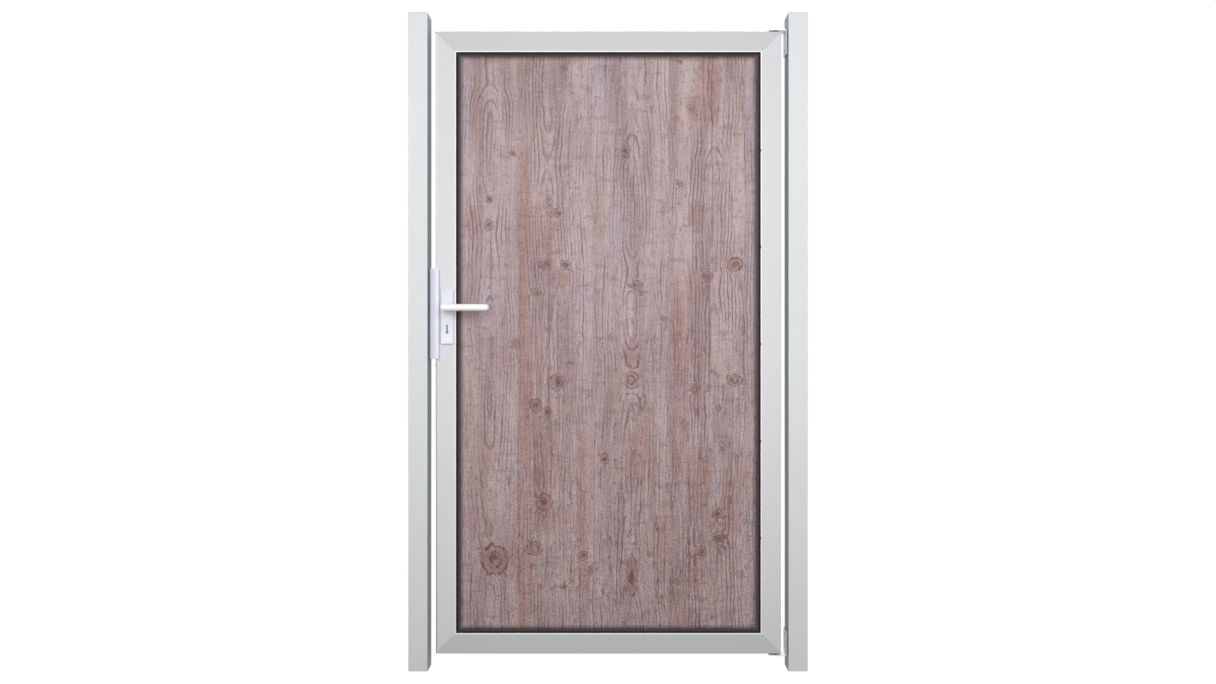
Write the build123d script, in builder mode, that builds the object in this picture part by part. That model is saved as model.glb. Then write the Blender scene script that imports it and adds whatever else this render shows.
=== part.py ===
from build123d import *
import os

os.makedirs("parts", exist_ok=True)

# Sizes that are set by themselves, in millimetres
post_size = 56
post_wall = 2.5
post_corner_radius = 2
post_foot_thickness = 4
post_rise = 50
cap_thickness = 3
cap_edge_chamfer = 1.5
cap_plug_depth = 18
cap_plug_fit = 0.2

leaf_width = 1000
leaf_height = 1800
leaf_depth = 40
leaf_setback = 16
ground_gap = 45
hinge_gap = 17.5
lock_gap = 19.5

face_width = 59
frame_wall = 2.2
frame_corner_radius = 1.5
glazing_leg_depth = 12
glazing_leg_thickness = 3
glazing_leg_radius = 1.2
groove_depth = 1.2
groove_width = 4
groove_inset = 3

panel_thickness = 24
panel_edge_clearance = 3
gasket_heel = 9
gasket_lip = 8.5
gasket_lip_thickness = 1.2
gasket_shoulder = 1
gasket_slope_start = 3
gasket_slope_height = 3.6
gasket_fit = 0.1

seal_thickness = 5
seal_width = 6
seal_setback = 2
seal_radius = 2.4
seal_bore_radius = 1.3

lever_height = 1045
lever_radius = 10
lever_length = 136
lever_reach = 35
lever_end_chamfer = 5
lever_gap = 0.5
neck_radius = 9
neck_depth = 6
neck_fit = 0.08
spindle_size = 8
spindle_fit = 0.05
spindle_depth = 18

plate_width = 37
plate_height = 160
plate_thickness = 8
plate_above_lever = 56
plate_corner_radius = 4
plate_edge_chamfer = 1.5
key_distance = 70
key_round_radius = 4
key_slot_width = 4
key_slot_height = 21

case_height = 165
backset = 35
case_depth = 44
case_thickness = 14
case_above_lever = 45
case_fit = 0.3
follower_radius = 6.2
stile_hole_radius = 9
faceplate_width = 20
faceplate_height = 240
faceplate_thickness = 3
faceplate_above_lever = 70
bolt_thickness = 10
latch_height = 28
dead_bolt_height = 32
bolt_length = 24
bolt_fit = 0.3

keep_height = 261
keep_above_lever = 114
keep_cap_height = 8
keep_box_width = 11
keep_box_depth = 25
keep_box_ahead = 9
keep_wall = 2.5
keep_web_inset = 6.5
keep_overlap = 11.3
stop_gap = 5
stop_thickness = 3.5
stop_crown_height = 2
stop_crown_inset = 9.6
stop_shoulder = 3
keep_edge_radius = 1
keep_slot_height = 38

hinge_width = 34
hinge_thickness = 4
hinge_leg_height = 73.5
hinge_bend_radius = 3
hinge_leaf_gap = 5
pivot_inset = 18
pin_radius = 6
pin_projection = 4
pin_length_in_leaf = 28
pin_fit = 0.05
bush_radius = 10
bush_length = 32
bush_collar_radius = 13
bush_fit = 0.1
bush_running_gap = 0.3
screw_radius = 3
screw_head_radius = 5.8
screw_length = 20
screw_spacing = 34
screw_edge_distance = 14
screw_fit = 0.05

# Places worked out from those sizes, measured from the foot of the hinge post
leaf_bottom = ground_gap
leaf_top = leaf_bottom + leaf_height
leaf_middle = (leaf_bottom + leaf_top) / 2
post_height = leaf_top + post_rise - cap_thickness
hinge_side = -post_size / 2
leaf_hinge_x = hinge_side - hinge_gap
leaf_lock_x = leaf_hinge_x - leaf_width
latch_side = leaf_lock_x - lock_gap
latch_post_x = latch_side - post_size / 2
leaf_front = -post_size / 2 + leaf_setback
leaf_back = leaf_front + leaf_depth
leaf_mid = (leaf_front + leaf_back) / 2
tube_width = face_width - glazing_leg_depth
gasket_thickness = (leaf_depth - panel_thickness) / 2 - glazing_leg_thickness
rebate_depth = seal_setback + seal_width
lock_x = leaf_lock_x + backset
pivot_x = leaf_hinge_x - pivot_inset
case_top = lever_height + case_above_lever
key_height = lever_height - key_distance
keep_bottom = lever_height + keep_above_lever - keep_height
arm_face = leaf_height / 2 + hinge_leaf_gap
arm_outside = arm_face + hinge_thickness
first_screw = arm_outside - hinge_leg_height + screw_edge_distance
screw_places = [first_screw, first_screw + screw_spacing]


# Planes that look out along X or Y, with the sketch upright
def facing_x(x, y, z, outward):
    return Plane((x, y, z), x_dir=(0, outward, 0), z_dir=(outward, 0, 0))


def facing_y(x, y, z, outward):
    return Plane((x, y, z), x_dir=(-outward, 0, 0), z_dir=(0, outward, 0))


# Posts: square tube with a closed foot, and a cap plugged into the top
def post_tube(center_x, drilled_heights):
    with BuildPart() as tube:
        with BuildSketch(Plane((center_x, 0, 0))):
            RectangleRounded(post_size, post_size, post_corner_radius)
        extrude(amount=post_height)
        with BuildSketch(Plane((center_x, 0, post_foot_thickness))):
            Rectangle(post_size - 2 * post_wall, post_size - 2 * post_wall)
        extrude(amount=post_height, mode=Mode.SUBTRACT)
        for height in drilled_heights:
            with BuildSketch(facing_x(hinge_side, leaf_mid, height, -1)):
                Circle(screw_radius + screw_fit)
            extrude(amount=-2 * post_wall, mode=Mode.SUBTRACT)
    return tube


def post_cap(center_x):
    plug_size = post_size - 2 * post_wall - 2 * cap_plug_fit
    with BuildPart() as cap:
        with BuildSketch(Plane((center_x, 0, post_height))):
            RectangleRounded(post_size, post_size, post_corner_radius)
        extrude(amount=cap_thickness)
        chamfer(cap.faces().sort_by(Axis.Z)[-1].edges(), length=cap_edge_chamfer)
        with BuildSketch(Plane((center_x, 0, post_height))):
            Rectangle(plug_size, plug_size)
            Rectangle(plug_size - 2 * post_wall, plug_size - 2 * post_wall, mode=Mode.SUBTRACT)
        extrude(amount=-cap_plug_depth)
    return cap


hinge_post = post_tube(0, [leaf_middle + side * place for side in (-1, 1) for place in screw_places])
hinge_post.part.label = "hinge_post"
export_step(hinge_post.part, "parts/hinge_post.step")

latch_post = post_tube(latch_post_x, [])
latch_post.part.label = "latch_post"
export_step(latch_post.part, "parts/latch_post.step")

hinge_post_cap = post_cap(0)
hinge_post_cap.part.label = "hinge_post_cap"
export_step(hinge_post_cap.part, "parts/hinge_post_cap.step")

latch_post_cap = post_cap(latch_post_x)
latch_post_cap.part.label = "latch_post_cap"
export_step(latch_post_cap.part, "parts/latch_post_cap.step")


# The lock edge of the leaf has a rebate in its front corner, in which the seal lies
def rebate_outline(grow, mode):
    Rectangle(
        seal_thickness + grow,
        rebate_depth + grow,
        align=(Align.MIN, Align.MIN),
        mode=mode,
    )


# Leaf frame: a hollow profile with a glazing pocket and gasket grooves, mitred at both ends
def frame_member(section_plane, length, rebated=False):
    along = section_plane.z_dir
    inward = section_plane.x_dir
    groove_x = face_width - groove_inset - groove_width / 2
    groove_y = leaf_depth / 2 - glazing_leg_thickness + groove_depth / 2
    with BuildPart() as member:
        with BuildSketch(section_plane) as profile:
            Rectangle(face_width, leaf_depth, align=(Align.MIN, Align.CENTER))
            fillet(profile.vertices().group_by(Axis.X)[0], radius=frame_corner_radius)
            fillet(profile.vertices().group_by(Axis.X)[-1], radius=glazing_leg_radius)
            with Locations((tube_width, 0)):
                Rectangle(
                    glazing_leg_depth,
                    leaf_depth - 2 * glazing_leg_thickness,
                    align=(Align.MIN, Align.CENTER),
                    mode=Mode.SUBTRACT,
                )
            with Locations((frame_wall, 0)):
                Rectangle(
                    tube_width - 2 * frame_wall,
                    leaf_depth - 2 * frame_wall,
                    align=(Align.MIN, Align.CENTER),
                    mode=Mode.SUBTRACT,
                )
            with Locations((groove_x, groove_y), (groove_x, -groove_y)):
                Rectangle(groove_width, groove_depth, mode=Mode.SUBTRACT)
            if rebated:
                with Locations((0, -leaf_depth / 2)):
                    rebate_outline(frame_wall, Mode.ADD)
                    rebate_outline(0, Mode.SUBTRACT)
                face_corner = profile.vertices().sort_by_distance((seal_thickness, -leaf_depth / 2))[0]
                fillet(face_corner, radius=frame_corner_radius)
        extrude(amount=length)
        with BuildSketch(Plane(section_plane.origin, x_dir=along, z_dir=along.cross(inward))):
            with BuildLine():
                Polyline(
                    (0, 0),
                    (length, 0),
                    (length - face_width, face_width),
                    (face_width, face_width),
                    close=True,
                )
            make_face()
        extrude(amount=leaf_depth, both=True, mode=Mode.INTERSECT)
    return member


# The keyhole is a round hole with a narrow slot standing on it
def keyhole_outline(grow):
    Circle(key_round_radius + grow)
    Rectangle(
        key_slot_width + 2 * grow,
        key_slot_height + grow,
        align=(Align.CENTER, Align.MIN),
    )


key_plane = facing_y(lock_x, leaf_mid, key_height, 1)
key_cut_depth = leaf_depth / 2 + 2 * plate_thickness

lock_plane = Plane((leaf_lock_x, leaf_mid, leaf_bottom), x_dir=(1, 0, 0), z_dir=(0, 0, 1))
hinge_plane = Plane((leaf_hinge_x, leaf_mid, leaf_bottom), x_dir=(-1, 0, 0), z_dir=(0, 0, 1))
bottom_plane = Plane((leaf_lock_x, leaf_mid, leaf_bottom), x_dir=(0, 0, 1), z_dir=(1, 0, 0))
top_plane = Plane((leaf_lock_x, leaf_mid, leaf_top), x_dir=(0, 0, -1), z_dir=(1, 0, 0))

plain_lock_stile = frame_member(lock_plane, leaf_height, rebated=True)
with BuildPart() as lock_stile:
    add(plain_lock_stile.part)
    with BuildSketch(facing_x(leaf_lock_x, leaf_mid, case_top + case_fit, -1)):
        Rectangle(
            case_thickness + 2 * case_fit,
            case_height + 2 * case_fit,
            align=(Align.CENTER, Align.MAX),
        )
    extrude(amount=-2 * frame_wall, mode=Mode.SUBTRACT)
    with BuildSketch(facing_y(lock_x, leaf_back, lever_height, 1)):
        Circle(stile_hole_radius)
    extrude(amount=-leaf_depth, mode=Mode.SUBTRACT)
    with BuildSketch(key_plane):
        keyhole_outline(case_fit)
    extrude(amount=key_cut_depth, both=True, mode=Mode.SUBTRACT)
lock_stile.part.label = "lock_stile"
export_step(lock_stile.part, "parts/lock_stile.step")

hinge_stile = frame_member(hinge_plane, leaf_height)
hinge_stile.part.label = "hinge_stile"
export_step(hinge_stile.part, "parts/hinge_stile.step")


def drilled_rail(section_plane, height, outward):
    plain_rail = frame_member(section_plane, leaf_width)
    with BuildPart() as rail:
        add(plain_rail.part)
        with BuildSketch(Plane((pivot_x, leaf_mid, height), z_dir=(0, 0, outward))):
            Circle(bush_radius + bush_fit)
        extrude(amount=-2 * frame_wall, mode=Mode.SUBTRACT)
        with BuildSketch(Plane((leaf_lock_x, leaf_front, leaf_bottom))):
            rebate_outline(0, Mode.ADD)
        extrude(amount=leaf_height, mode=Mode.SUBTRACT)
    return rail


top_rail = drilled_rail(top_plane, leaf_top, 1)
top_rail.part.label = "top_rail"
export_step(top_rail.part, "parts/top_rail.step")

bottom_rail = drilled_rail(bottom_plane, leaf_bottom, -1)
bottom_rail.part.label = "bottom_rail"
export_step(bottom_rail.part, "parts/bottom_rail.step")

# Infill panel, let into the glazing pocket on all four sides
panel_margin = tube_width + panel_edge_clearance
panel_x = (leaf_lock_x + leaf_hinge_x) / 2
with BuildPart() as infill_panel:
    with BuildSketch(facing_y(panel_x, leaf_mid, leaf_middle, -1)):
        Rectangle(leaf_width - 2 * panel_margin, leaf_height - 2 * panel_margin)
    extrude(amount=panel_thickness / 2, both=True)
infill_panel.part.label = "infill_panel"
export_step(infill_panel.part, "parts/infill_panel.step")


# Gaskets: a heel with a foot in the groove of the glazing leg, and a lip lying on the panel
def gasket_ring(side):
    face_y = leaf_mid + side * panel_thickness / 2
    left = leaf_lock_x + face_width
    right = leaf_hinge_x - face_width
    low = leaf_bottom + face_width
    high = leaf_top - face_width
    foot_start = -groove_inset - groove_width + gasket_fit
    foot_end = -groove_inset - gasket_fit
    foot_top = gasket_thickness + groove_depth - gasket_fit
    with BuildPart() as ring:
        with BuildLine():
            Polyline(
                (panel_x, face_y, low),
                (right, face_y, low),
                (right, face_y, high),
                (left, face_y, high),
                (left, face_y, low),
                (panel_x, face_y, low),
            )
        with BuildSketch(Plane((panel_x, face_y, low), x_dir=(0, 0, 1), z_dir=(-side, 0, 0))):
            with BuildLine():
                Polyline(
                    (-gasket_heel, 0),
                    (gasket_lip, 0),
                    (gasket_lip, gasket_lip_thickness),
                    (gasket_slope_start, gasket_slope_height),
                    (gasket_shoulder, gasket_thickness),
                    (foot_end, gasket_thickness),
                    (foot_end, foot_top),
                    (foot_start, foot_top),
                    (foot_start, gasket_thickness),
                    (-gasket_heel, gasket_thickness),
                    close=True,
                )
            make_face()
        sweep(transition=Transition.RIGHT)
    return ring


front_gasket = gasket_ring(-1)
front_gasket.part.label = "front_gasket"
export_step(front_gasket.part, "parts/front_gasket.step")

back_gasket = gasket_ring(1)
back_gasket.part.label = "back_gasket"
export_step(back_gasket.part, "parts/back_gasket.step")

# Bulb seal in the rebate, along the whole lock edge of the leaf
seal_y = leaf_front + seal_setback + seal_width / 2
with BuildPart() as edge_seal:
    with BuildSketch(Plane((leaf_lock_x, seal_y, leaf_bottom))) as bulb:
        Rectangle(seal_thickness, seal_width, align=(Align.MIN, Align.CENTER))
        fillet(bulb.vertices().group_by(Axis.X)[0], radius=seal_radius)
        with Locations((seal_radius, 0)):
            Circle(seal_bore_radius, mode=Mode.SUBTRACT)
    extrude(amount=leaf_height)
edge_seal.part.label = "edge_seal"
export_step(edge_seal.part, "parts/edge_seal.step")


# Lock plates, one on each face of the lock stile
def lock_plate(face_y, outward):
    middle = lever_height + plate_above_lever - plate_height / 2
    with BuildPart() as plate:
        with BuildSketch(facing_y(lock_x, face_y, middle, outward)):
            RectangleRounded(plate_width, plate_height, plate_corner_radius)
        extrude(amount=plate_thickness)
        outer_face = plate.faces().filter_by(Axis.Y).sort_by(Axis.Y, reverse=outward > 0)[0]
        chamfer(outer_face.edges(), length=plate_edge_chamfer)
        with BuildSketch(facing_y(lock_x, face_y, lever_height, outward)):
            Circle(neck_radius + neck_fit)
        extrude(amount=plate_thickness, mode=Mode.SUBTRACT)
        with BuildSketch(key_plane):
            keyhole_outline(0)
        extrude(amount=key_cut_depth, both=True, mode=Mode.SUBTRACT)
    return plate


front_lock_plate = lock_plate(leaf_front, -1)
front_lock_plate.part.label = "front_lock_plate"
export_step(front_lock_plate.part, "parts/front_lock_plate.step")

back_lock_plate = lock_plate(leaf_back, 1)
back_lock_plate.part.label = "back_lock_plate"
export_step(back_lock_plate.part, "parts/back_lock_plate.step")

# Lock case inside the lock stile, with its faceplate and the two retracted bolts
with BuildPart() as lock_case:
    with BuildSketch(facing_x(leaf_lock_x, leaf_mid, case_top, -1)):
        Rectangle(case_thickness, case_height, align=(Align.CENTER, Align.MAX))
    extrude(amount=-case_depth)
    with BuildSketch(facing_y(lock_x, leaf_back, lever_height, 1)):
        Circle(follower_radius)
    extrude(amount=-leaf_depth, mode=Mode.SUBTRACT)
    with BuildSketch(key_plane):
        keyhole_outline(0)
    extrude(amount=key_cut_depth, both=True, mode=Mode.SUBTRACT)
    with BuildSketch(facing_x(leaf_lock_x, leaf_mid, 0, -1)):
        with Locations((0, lever_height)):
            Rectangle(bolt_thickness + 2 * bolt_fit, latch_height + 2 * bolt_fit)
        with Locations((0, key_height)):
            Rectangle(bolt_thickness + 2 * bolt_fit, dead_bolt_height + 2 * bolt_fit)
    extrude(amount=faceplate_thickness - bolt_length, mode=Mode.SUBTRACT)
lock_case.part.label = "lock_case"
export_step(lock_case.part, "parts/lock_case.step")

faceplate_middle = lever_height + faceplate_above_lever - faceplate_height / 2
with BuildPart() as lock_faceplate:
    with BuildSketch(facing_x(leaf_lock_x, leaf_mid, faceplate_middle, -1)):
        SlotOverall(faceplate_height, faceplate_width, rotation=90)
        with Locations((0, lever_height - faceplate_middle)):
            Rectangle(bolt_thickness + 2 * bolt_fit, latch_height + 2 * bolt_fit, mode=Mode.SUBTRACT)
        with Locations((0, key_height - faceplate_middle)):
            Rectangle(bolt_thickness + 2 * bolt_fit, dead_bolt_height + 2 * bolt_fit, mode=Mode.SUBTRACT)
    extrude(amount=faceplate_thickness)
lock_faceplate.part.label = "lock_faceplate"
export_step(lock_faceplate.part, "parts/lock_faceplate.step")


def retracted_bolt(height, tall):
    with BuildPart() as bolt:
        with BuildSketch(facing_x(leaf_lock_x - faceplate_thickness, leaf_mid, height, -1)):
            Rectangle(bolt_thickness, tall)
        extrude(amount=-bolt_length)
    return bolt


latch_bolt = retracted_bolt(lever_height, latch_height)
latch_bolt.part.label = "latch_bolt"
export_step(latch_bolt.part, "parts/latch_bolt.step")

dead_bolt = retracted_bolt(key_height, dead_bolt_height)
dead_bolt.part.label = "dead_bolt"
export_step(dead_bolt.part, "parts/dead_bolt.step")


# Lever handles: a round bar mitred at its corner, with a neck that turns in the plate
def lever_handle(face_y, outward):
    plate_face = face_y + outward * plate_thickness
    start_y = plate_face + outward * lever_gap
    bar_y = plate_face + outward * lever_reach
    neck_end = plate_face - outward * neck_depth
    bar_end = lever_length - lever_radius
    with BuildPart() as handle:
        with BuildLine(Plane((lock_x, 0, lever_height))):
            Polyline((0, start_y), (0, bar_y), (bar_end, bar_y))
        with BuildSketch(facing_y(lock_x, start_y, lever_height, outward)):
            Circle(lever_radius)
        sweep(transition=Transition.RIGHT)
        chamfer(handle.faces().sort_by(Axis.X)[-1].edges(), length=lever_end_chamfer)
        with BuildSketch(facing_y(lock_x, neck_end, lever_height, outward)):
            Circle(neck_radius)
        extrude(amount=neck_depth + lever_gap)
        with BuildSketch(facing_y(lock_x, neck_end, lever_height, outward)):
            Rectangle(spindle_size + 2 * spindle_fit, spindle_size + 2 * spindle_fit)
        extrude(amount=spindle_depth + spindle_fit, mode=Mode.SUBTRACT)
    return handle


front_lever = lever_handle(leaf_front, -1)
front_lever.part.label = "front_lever"
export_step(front_lever.part, "parts/front_lever.step")

back_lever = lever_handle(leaf_back, 1)
back_lever.part.label = "back_lever"
export_step(back_lever.part, "parts/back_lever.step")

spindle_half = leaf_depth / 2 + plate_thickness - neck_depth + spindle_depth
with BuildPart() as spindle:
    with BuildSketch(facing_y(lock_x, leaf_mid, lever_height, 1)):
        Rectangle(spindle_size, spindle_size)
    extrude(amount=spindle_half, both=True)
spindle.part.label = "spindle"
export_step(spindle.part, "parts/spindle.step")

# Keep on the latch post: a hollow box, open where the two bolts enter, and a stop nose ahead of the leaf
keep_box_front = leaf_mid - keep_box_ahead
keep_box_back = keep_box_front + keep_box_depth
keep_box_middle = keep_box_front + keep_box_depth / 2
stop_back = leaf_front - stop_gap
stop_front = stop_back - stop_thickness
nose_x = lock_gap + keep_overlap


def keep_outline(sketch):
    Polygon(
        (0, keep_box_back),
        (0, keep_box_front),
        (keep_web_inset, keep_box_front),
        (keep_web_inset, stop_front + stop_shoulder),
        (nose_x - stop_crown_inset, stop_front - stop_crown_height),
        (nose_x, stop_front),
        (nose_x, stop_back),
        (keep_box_width, stop_back),
        (keep_box_width, keep_box_back),
        align=None,
    )
    fillet(sketch.vertices().group_by(Axis.X)[-1], radius=keep_edge_radius)
    fillet(sketch.vertices().group_by(Axis.Y)[0], radius=keep_edge_radius)


with BuildPart() as keep_body:
    with BuildSketch(Plane((latch_side, 0, keep_bottom + keep_cap_height))) as keep_section:
        keep_outline(keep_section)
        with Locations((keep_wall, keep_box_front + keep_wall)):
            Rectangle(
                keep_box_width - 2 * keep_wall,
                keep_box_depth - 2 * keep_wall,
                align=(Align.MIN, Align.MIN),
                mode=Mode.SUBTRACT,
            )
    extrude(amount=keep_height - 2 * keep_cap_height)
    with BuildSketch(facing_x(latch_side + keep_box_width, keep_box_middle, 0, 1)):
        with Locations((0, lever_height), (0, key_height)):
            Rectangle(keep_box_depth - 2 * keep_wall, keep_slot_height)
    extrude(amount=-keep_wall, mode=Mode.SUBTRACT)
keep_body.part.label = "keep_body"
export_step(keep_body.part, "parts/keep_body.step")


def keep_cap(bottom):
    with BuildPart() as cap:
        with BuildSketch(Plane((latch_side, 0, bottom))) as cap_section:
            keep_outline(cap_section)
        extrude(amount=keep_cap_height)
    return cap


keep_top_cap = keep_cap(keep_bottom + keep_height - keep_cap_height)
keep_top_cap.part.label = "keep_top_cap"
export_step(keep_top_cap.part, "parts/keep_top_cap.step")

keep_bottom_cap = keep_cap(keep_bottom)
keep_bottom_cap.part.label = "keep_bottom_cap"
export_step(keep_bottom_cap.part, "parts/keep_bottom_cap.step")


# Hinges: a bent bracket screwed to the post, its pin, and a bush in the corner of the leaf
def hinge_bracket(side):
    bend_plane = Plane((hinge_side, leaf_mid, leaf_middle), x_dir=(-1, 0, 0), z_dir=(0, side, 0))
    arm_reach = hinge_side - pivot_x
    leg_end = arm_outside - hinge_leg_height
    with BuildPart() as bracket:
        with BuildSketch(bend_plane) as bend:
            with BuildLine():
                Polyline(
                    (0, leg_end),
                    (0, arm_outside),
                    (arm_reach, arm_outside),
                    (arm_reach, arm_face),
                    (hinge_thickness, arm_face),
                    (hinge_thickness, leg_end),
                    close=True,
                )
            make_face()
            outer_corner = bend.vertices().sort_by_distance((0, arm_outside))[0]
            inner_corner = bend.vertices().sort_by_distance((hinge_thickness, arm_face))[0]
            fillet(outer_corner, radius=hinge_bend_radius + hinge_thickness)
            fillet(inner_corner, radius=hinge_bend_radius)
        extrude(amount=hinge_width / 2, both=True)
        with BuildSketch(Plane((pivot_x, leaf_mid, leaf_middle + side * arm_face), z_dir=(0, 0, side))):
            Circle(hinge_width / 2)
        extrude(amount=hinge_thickness)
        with BuildSketch(Plane((pivot_x, leaf_mid, leaf_middle + side * arm_face), z_dir=(0, 0, side))):
            Circle(pin_radius + pin_fit)
        extrude(amount=hinge_thickness, mode=Mode.SUBTRACT)
        for place in screw_places:
            with Locations(facing_x(hinge_side - hinge_thickness, leaf_mid, leaf_middle + side * place, -1)):
                CounterSinkHole(
                    radius=screw_radius + screw_fit,
                    counter_sink_radius=screw_head_radius + screw_fit,
                    depth=hinge_thickness,
                    counter_sink_angle=90,
                )
    return bracket


def hinge_pin(side):
    pin_end = arm_outside + pin_projection
    with BuildPart() as pin:
        with BuildSketch(Plane((pivot_x, leaf_mid, leaf_middle + side * pin_end), z_dir=(0, 0, side))):
            Circle(pin_radius)
        extrude(amount=leaf_height / 2 - pin_length_in_leaf - pin_end)
    return pin


def pivot_bush(side):
    leaf_end = Plane((pivot_x, leaf_mid, leaf_middle + side * leaf_height / 2), z_dir=(0, 0, side))
    with BuildPart() as bush:
        with BuildSketch(leaf_end):
            Circle(bush_radius)
        extrude(amount=-bush_length)
        with BuildSketch(leaf_end):
            Circle(bush_collar_radius)
        extrude(amount=hinge_leaf_gap - bush_running_gap)
        with BuildSketch(leaf_end):
            Circle(pin_radius + pin_fit)
        extrude(amount=bush_length + hinge_leaf_gap, both=True, mode=Mode.SUBTRACT)
    return bush


upper_hinge_bracket = hinge_bracket(1)
upper_hinge_bracket.part.label = "upper_hinge_bracket"
export_step(upper_hinge_bracket.part, "parts/upper_hinge_bracket.step")

lower_hinge_bracket = hinge_bracket(-1)
lower_hinge_bracket.part.label = "lower_hinge_bracket"
export_step(lower_hinge_bracket.part, "parts/lower_hinge_bracket.step")

upper_hinge_pin = hinge_pin(1)
upper_hinge_pin.part.label = "upper_hinge_pin"
export_step(upper_hinge_pin.part, "parts/upper_hinge_pin.step")

lower_hinge_pin = hinge_pin(-1)
lower_hinge_pin.part.label = "lower_hinge_pin"
export_step(lower_hinge_pin.part, "parts/lower_hinge_pin.step")

upper_pivot_bush = pivot_bush(1)
upper_pivot_bush.part.label = "upper_pivot_bush"
export_step(upper_pivot_bush.part, "parts/upper_pivot_bush.step")

lower_pivot_bush = pivot_bush(-1)
lower_pivot_bush.part.label = "lower_pivot_bush"
export_step(lower_pivot_bush.part, "parts/lower_pivot_bush.step")

# Countersunk screws that hold the brackets, their heads flush with the leg
head_slope_height = screw_head_radius - screw_radius
with BuildPart() as hinge_screws:
    for side in (-1, 1):
        for place in screw_places:
            head_plane = facing_x(hinge_side - hinge_thickness, leaf_mid, leaf_middle + side * place, -1)
            with BuildSketch(head_plane):
                Circle(screw_head_radius)
            extrude(amount=-head_slope_height, taper=45)
            with BuildSketch(head_plane):
                Circle(screw_radius)
            extrude(amount=-screw_length)
hinge_screws.part.label = "hinge_screws"
export_step(hinge_screws.part, "parts/hinge_screws.step")
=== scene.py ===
from math import cos, radians, sin

import bmesh
import bpy
from mathutils import Matrix, Vector


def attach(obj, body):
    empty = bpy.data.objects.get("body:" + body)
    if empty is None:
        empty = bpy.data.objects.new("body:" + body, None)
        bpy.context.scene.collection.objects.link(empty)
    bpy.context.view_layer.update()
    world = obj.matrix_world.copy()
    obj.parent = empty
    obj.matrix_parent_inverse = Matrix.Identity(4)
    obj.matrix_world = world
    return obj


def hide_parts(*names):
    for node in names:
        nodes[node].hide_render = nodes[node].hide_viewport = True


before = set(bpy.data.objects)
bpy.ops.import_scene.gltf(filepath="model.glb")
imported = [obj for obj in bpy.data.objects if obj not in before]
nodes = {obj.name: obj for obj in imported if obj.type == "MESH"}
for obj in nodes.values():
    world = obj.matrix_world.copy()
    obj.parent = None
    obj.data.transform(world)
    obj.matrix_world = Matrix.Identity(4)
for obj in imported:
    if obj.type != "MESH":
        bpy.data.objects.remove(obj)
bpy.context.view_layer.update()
scene = bpy.context.scene

# Camera
# It stands level at half the height of the gate and square to it, 2.5 m away, so that the inner
# sides of both posts show.
camera = bpy.data.objects.new("camera", bpy.data.cameras.new("camera"))
camera.data.lens = 25.14
camera.data.sensor_width = 36
camera.location = (-0.5465, -2.468, 0.9468)
camera.rotation_euler = (radians(90), 0, 0)
scene.collection.objects.link(camera)
scene.camera = camera
scene.view_settings.view_transform = "Standard"

# Studio
# A pale floor at ground level and a plain white surround, with a wide soft lamp in front, one
# high behind, and one at each end for the outer sides of the posts.


def area_lamp(name, place, target, width, height, power):
    lamp = bpy.data.objects.new(name, bpy.data.lights.new(name, "AREA"))
    lamp.data.shape = "RECTANGLE"
    lamp.data.size = width
    lamp.data.size_y = height
    lamp.data.energy = power
    lamp.location = place
    lamp.visible_camera = False
    aim = Vector(target) - Vector(place)
    lamp.rotation_euler = aim.to_track_quat("-Z", "Y").to_euler()
    scene.collection.objects.link(lamp)


area_lamp("front_softbox", (-0.52, -2.1, 1.55), (-0.55, 0, 1.40), 3.0, 1.8, 58)
area_lamp("back_softbox", (-0.65, 4.0, 4.8), (-0.55, 0, 1.0), 3.6, 1.6, 190)
area_lamp("right_softbox", (2.6, 1.4, 1.6), (0, 0, 1.0), 2.2, 2.0, 60)
area_lamp("left_softbox", (-3.7, 1.4, 1.6), (-1.1, 0, 1.0), 2.2, 2.0, 60)

surround = bpy.data.worlds.new("surround")
scene.world = surround
surround.use_nodes = True
tree = surround.node_tree
room_light = tree.nodes["Background"]
room_light.inputs["Color"].default_value = (1, 1, 1, 1)
room_light.inputs["Strength"].default_value = 0.28
seen_white = tree.nodes.new("ShaderNodeBackground")
seen_white.inputs["Color"].default_value = (1, 1, 1, 1)
seen_white.inputs["Strength"].default_value = 1.0
rays = tree.nodes.new("ShaderNodeLightPath")
seen = tree.nodes.new("ShaderNodeMath")
seen.operation = "MAXIMUM"
tree.links.new(rays.outputs["Is Camera Ray"], seen.inputs[0])
mirrored = tree.nodes.new("ShaderNodeMath")
mirrored.operation = "MAXIMUM"
tree.links.new(rays.outputs["Is Glossy Ray"], mirrored.inputs[0])
tree.links.new(rays.outputs["Is Transmission Ray"], mirrored.inputs[1])
tree.links.new(mirrored.outputs[0], seen.inputs[1])
choose = tree.nodes.new("ShaderNodeMixShader")
tree.links.new(seen.outputs[0], choose.inputs[0])
tree.links.new(room_light.outputs[0], choose.inputs[1])
tree.links.new(seen_white.outputs[0], choose.inputs[2])
tree.links.new(choose.outputs[0], tree.nodes["World Output"].inputs["Surface"])

disc = bmesh.new()
bmesh.ops.create_circle(disc, cap_ends=True, segments=96, radius=60)
floor_mesh = bpy.data.meshes.new("floor")
disc.to_mesh(floor_mesh)
disc.free()
floor = bpy.data.objects.new("floor", floor_mesh)
scene.collection.objects.link(floor)


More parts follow.
